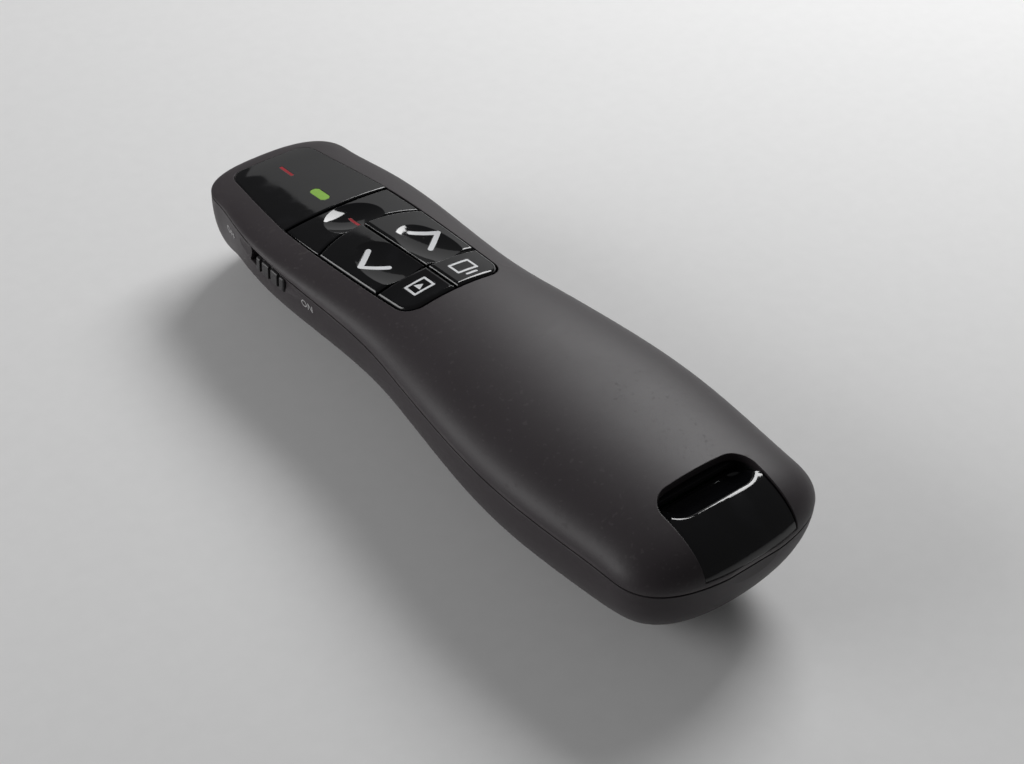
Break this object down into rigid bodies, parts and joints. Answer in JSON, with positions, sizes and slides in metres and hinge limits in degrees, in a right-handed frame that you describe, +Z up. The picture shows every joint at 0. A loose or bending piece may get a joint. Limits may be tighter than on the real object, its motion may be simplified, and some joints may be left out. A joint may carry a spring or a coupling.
{
  "type": "presentation clicker",
  "caption": "Handheld wireless presentation remote with slide keys, laser key, side power slide, stowed USB receiver and battery door.",
  "frame": {"origin": "on the table, under the middle of the body's bounding box", "axes": "+Y along the body to the laser nose, +X to the right seen from above with the nose pointing away, +Z up out of the key face"},
  "size_m": [0.0376, 0.1156, 0.0235],
  "materials": {
    "soft_touch_shell": "satin soft-touch charcoal moulding",
    "gloss_black": "polished piano-black moulding",
    "red_mark": "red moulded-in mark",
    "white_legend": "white two-shot legend",
    "light_pipe": "yellow-green translucent light pipe",
    "slider_plastic": "fine-textured black moulding",
    "switch_plastic": "black switch plastic",
    "inner_plastic": "unpolished black moulding",
    "plated_steel": "nickel-plated steel",
    "gold_contact": "gold-flashed brass",
    "circuit_board": "green solder mask",
    "chip_plastic": "black moulded chip package",
    "ceramic": "fired ceramic",
    "clear_lens": "clear polished lens",
    "battery_sleeve": "shrunk-on plain sleeve",
    "lead_insulation": "wire insulation"
  },
  "bodies": {
    "clicker": {"bottom_cover": "soft_touch_shell", "top_cover": "soft_touch_shell", "front_panel": "gloss_black", "laser_bar_lens": "red_mark", "status_light_pipe": "light_pipe", "status_led": "light_pipe", "key_carrier": "inner_plastic", "main_board": "circuit_board", "tact_switch_bodies": "switch_plastic", "slide_switch_body": "plated_steel", "radio_chip": "chip_plastic", "crystal": "plated_steel", "chip_antenna": "ceramic", "ceramic_capacitors": "ceramic", "laser_barrel": "gold_contact", "laser_lens": "clear_lens", "nose_window": "clear_lens", "laser_driver_board": "circuit_board", "laser_pins": "gold_contact", "cell_left": "battery_sleeve", "cell_right": "battery_sleeve", "rear_bridge_contact": "plated_steel", "positive_contact": "plated_steel", "negative_contact": "plated_steel", "contact_springs": "plated_steel", "battery_leads": "lead_insulation", "case_screws": "plated_steel", "board_screws": "plated_steel", "receiver_bay": "inner_plastic"},
    "laser_key": {"laser_button": "gloss_black", "laser_mark": "red_mark", "laser_plunger": "switch_plastic"},
    "previous_key": {"previous_button": "gloss_black", "previous_mark": "white_legend", "previous_plunger": "switch_plastic"},
    "next_key": {"next_button": "gloss_black", "next_mark": "white_legend", "next_plunger": "switch_plastic"},
    "slideshow_key": {"slideshow_button": "gloss_black", "slideshow_mark": "white_legend", "slideshow_plunger": "switch_plastic"},
    "blank_screen_key": {"blank_screen_button": "gloss_black", "blank_screen_mark": "white_legend", "blank_screen_plunger": "switch_plastic"},
    "power_slide": {"power_slider": "slider_plastic", "switch_lever": "switch_plastic"},
    "door": {"battery_door": "soft_touch_shell"},
    "receiver": {"receiver_cap": "gloss_black", "receiver_body": "inner_plastic", "receiver_board": "circuit_board", "receiver_chip": "chip_plastic", "usb_plug_shell": "plated_steel", "usb_tongue": "inner_plastic", "usb_contacts": "gold_contact"}
  },
  "joints": [
    {"name": "laser_press", "type": "slide", "parent": "clicker", "child": "laser_key", "axis": [0, 0, -1], "range_m": [0, 0.0006], "stiffness_N_per_m": 800},
    {"name": "previous_press", "type": "slide", "parent": "clicker", "child": "previous_key", "axis": [0, 0, -1], "range_m": [0, 0.0006], "stiffness_N_per_m": 800},
    {"name": "next_press", "type": "slide", "parent": "clicker", "child": "next_key", "axis": [0, 0, -1], "range_m": [0, 0.0006], "stiffness_N_per_m": 800},
    {"name": "slideshow_press", "type": "slide", "parent": "clicker", "child": "slideshow_key", "axis": [0, 0, -1], "range_m": [0, 0.0006], "stiffness_N_per_m": 800},
    {"name": "blank_screen_press", "type": "slide", "parent": "clicker", "child": "blank_screen_key", "axis": [0, 0, -1], "range_m": [0, 0.0006], "stiffness_N_per_m": 800},
    {"name": "power_slide_travel", "type": "slide", "parent": "clicker", "child": "power_slide", "axis": [0, 1, 0], "range_m": [0, 0.0025]},
    {"name": "door_swing", "type": "hinge", "parent": "clicker", "child": "door", "pos_m": [0, -0.0505, 0.0026], "axis": [-1, 0, 0], "range_deg": [0, 30]},
    {"name": "receiver_pull", "type": "slide", "parent": "clicker", "child": "receiver", "axis": [0, -1, 0], "range_m": [0, 0.044]}
  ]
}
